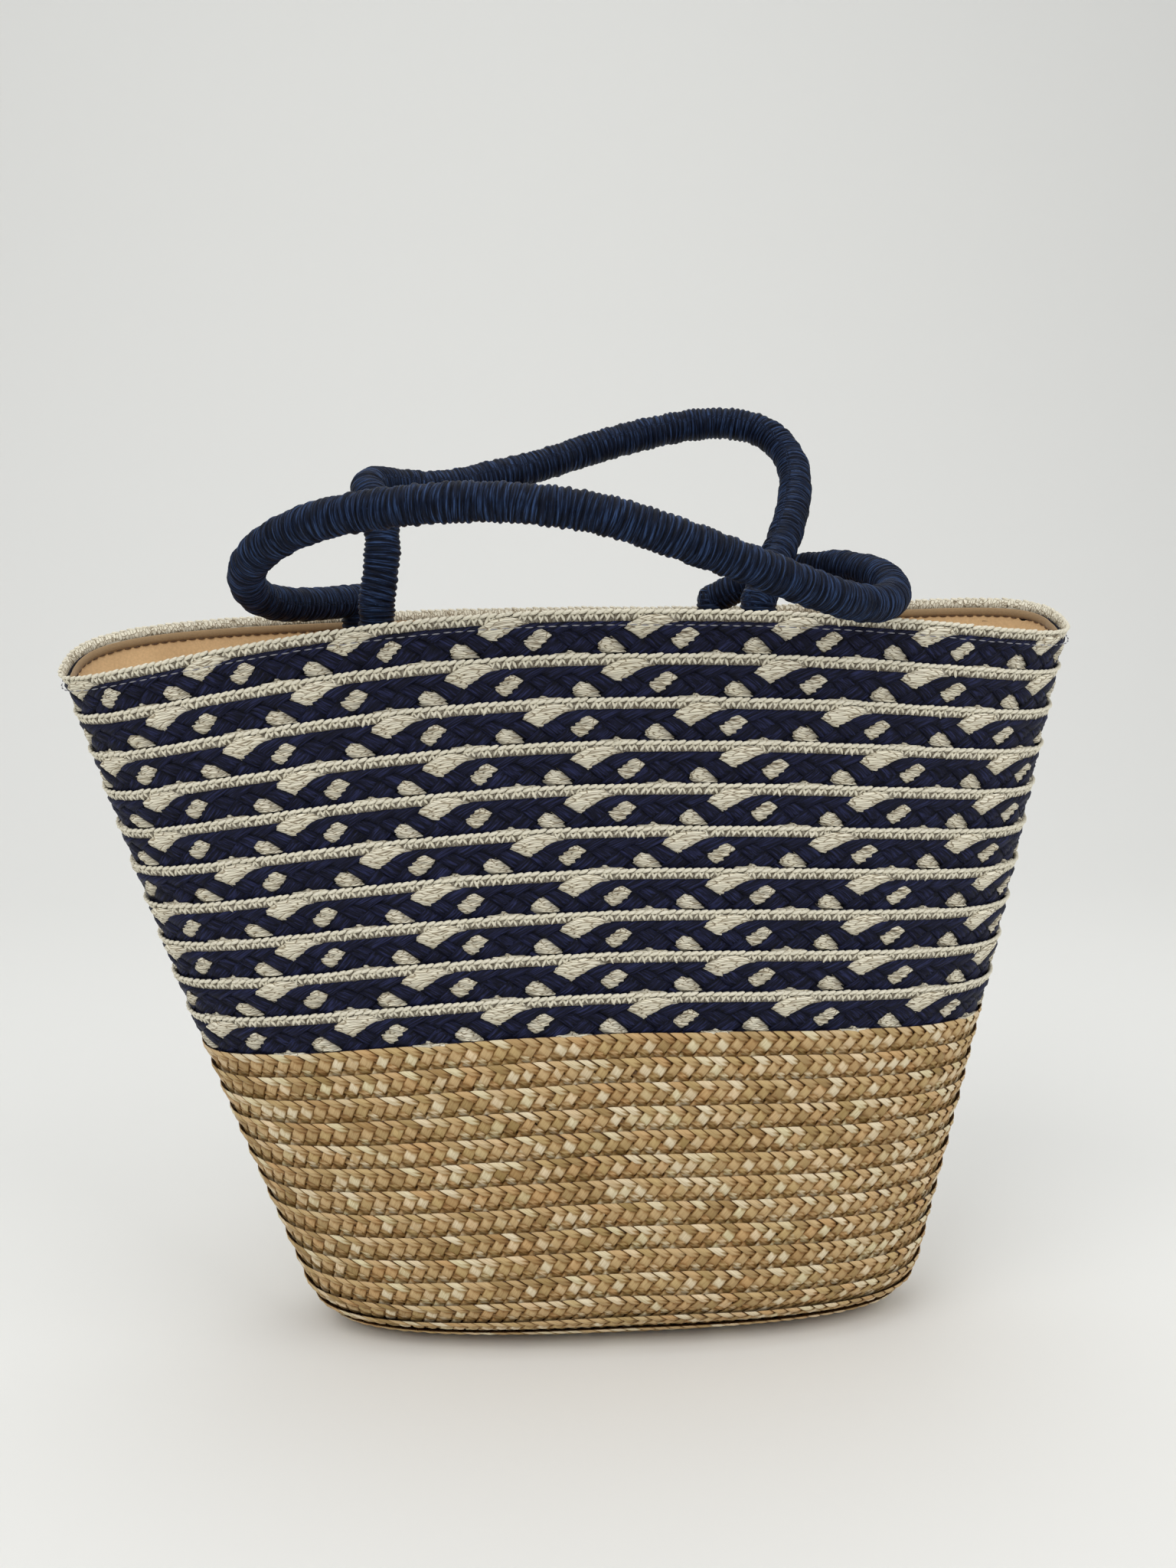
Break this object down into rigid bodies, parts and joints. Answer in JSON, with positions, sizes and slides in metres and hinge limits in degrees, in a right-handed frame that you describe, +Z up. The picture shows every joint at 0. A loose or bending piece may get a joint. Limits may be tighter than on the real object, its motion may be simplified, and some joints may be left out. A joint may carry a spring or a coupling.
{
  "type": "woven market basket",
  "caption": "Soft oval market basket of sewn straw and navy-and-cream paper plait, with a cloth lining and short rope handles that swing.",
  "frame": {"origin": "centre of the basket's flat underside, on the surface it stands on", "axes": "+Z up out of the mouth, +X to the right along the basket's length, +Y from the front wall to the back wall"},
  "size_m": [0.4765, 0.2175, 0.4514],
  "materials": {
    "straw_plait": "matte",
    "paper_plait": "matte",
    "lining_cloth": "matte",
    "hem_thread": "matte",
    "pale_thread": "matte",
    "rope_wrap": "satin",
    "rope_core": "matte"
  },
  "bodies": {
    "basket": {"straw_base_centre": "straw_plait", "straw_base_course": "straw_plait", "straw_wall_course_01": "straw_plait", "straw_wall_course_02": "straw_plait", "straw_wall_course_03": "straw_plait", "straw_wall_course_04": "straw_plait", "straw_wall_course_05": "straw_plait", "straw_wall_course_06": "straw_plait", "straw_wall_course_07": "straw_plait", "straw_wall_course_08": "straw_plait", "straw_wall_course_09": "straw_plait", "straw_wall_course_10": "straw_plait", "straw_wall_course_11": "straw_plait", "straw_wall_course_12": "straw_plait", "straw_wall_course_13": "straw_plait", "straw_wall_course_14": "straw_plait", "straw_wall_course_15": "straw_plait", "paper_wall_course_01": "paper_plait", "paper_wall_course_02": "paper_plait", "paper_wall_course_03": "paper_plait", "paper_wall_course_04": "paper_plait", "paper_wall_course_05": "paper_plait", "paper_wall_course_06": "paper_plait", "paper_wall_course_07": "paper_plait", "paper_wall_course_08": "paper_plait", "paper_wall_course_09": "paper_plait", "paper_wall_course_10": "paper_plait", "lining_back": "lining_cloth", "lining_front": "lining_cloth", "lining_bottom": "lining_cloth", "lining_hem": "lining_cloth", "hem_stitching": "hem_thread", "rim_stitching": "pale_thread", "back_handle_tail_left": "rope_wrap", "back_handle_tail_right": "rope_wrap", "front_handle_tail_left": "rope_wrap", "front_handle_tail_right": "rope_wrap", "handle_stitches": "pale_thread"},
    "back_handle": {"back_handle_core": "rope_core", "back_handle_wrap": "rope_wrap"},
    "front_handle": {"front_handle_core": "rope_core", "front_handle_wrap": "rope_wrap"}
  },
  "joints": [
    {"name": "back_handle_hinge", "type": "hinge", "parent": "basket", "child": "back_handle", "pos_m": [-0.0375, 0.04496, 0.353], "axis": [-0.9998, -0.0207, 0], "range_deg": [0, 110]},
    {"name": "front_handle_hinge", "type": "hinge", "parent": "basket", "child": "front_handle", "pos_m": [-0.0275, -0.04557, 0.353], "axis": [0.9999, -0.0129, 0], "range_deg": [0, 50]}
  ]
}
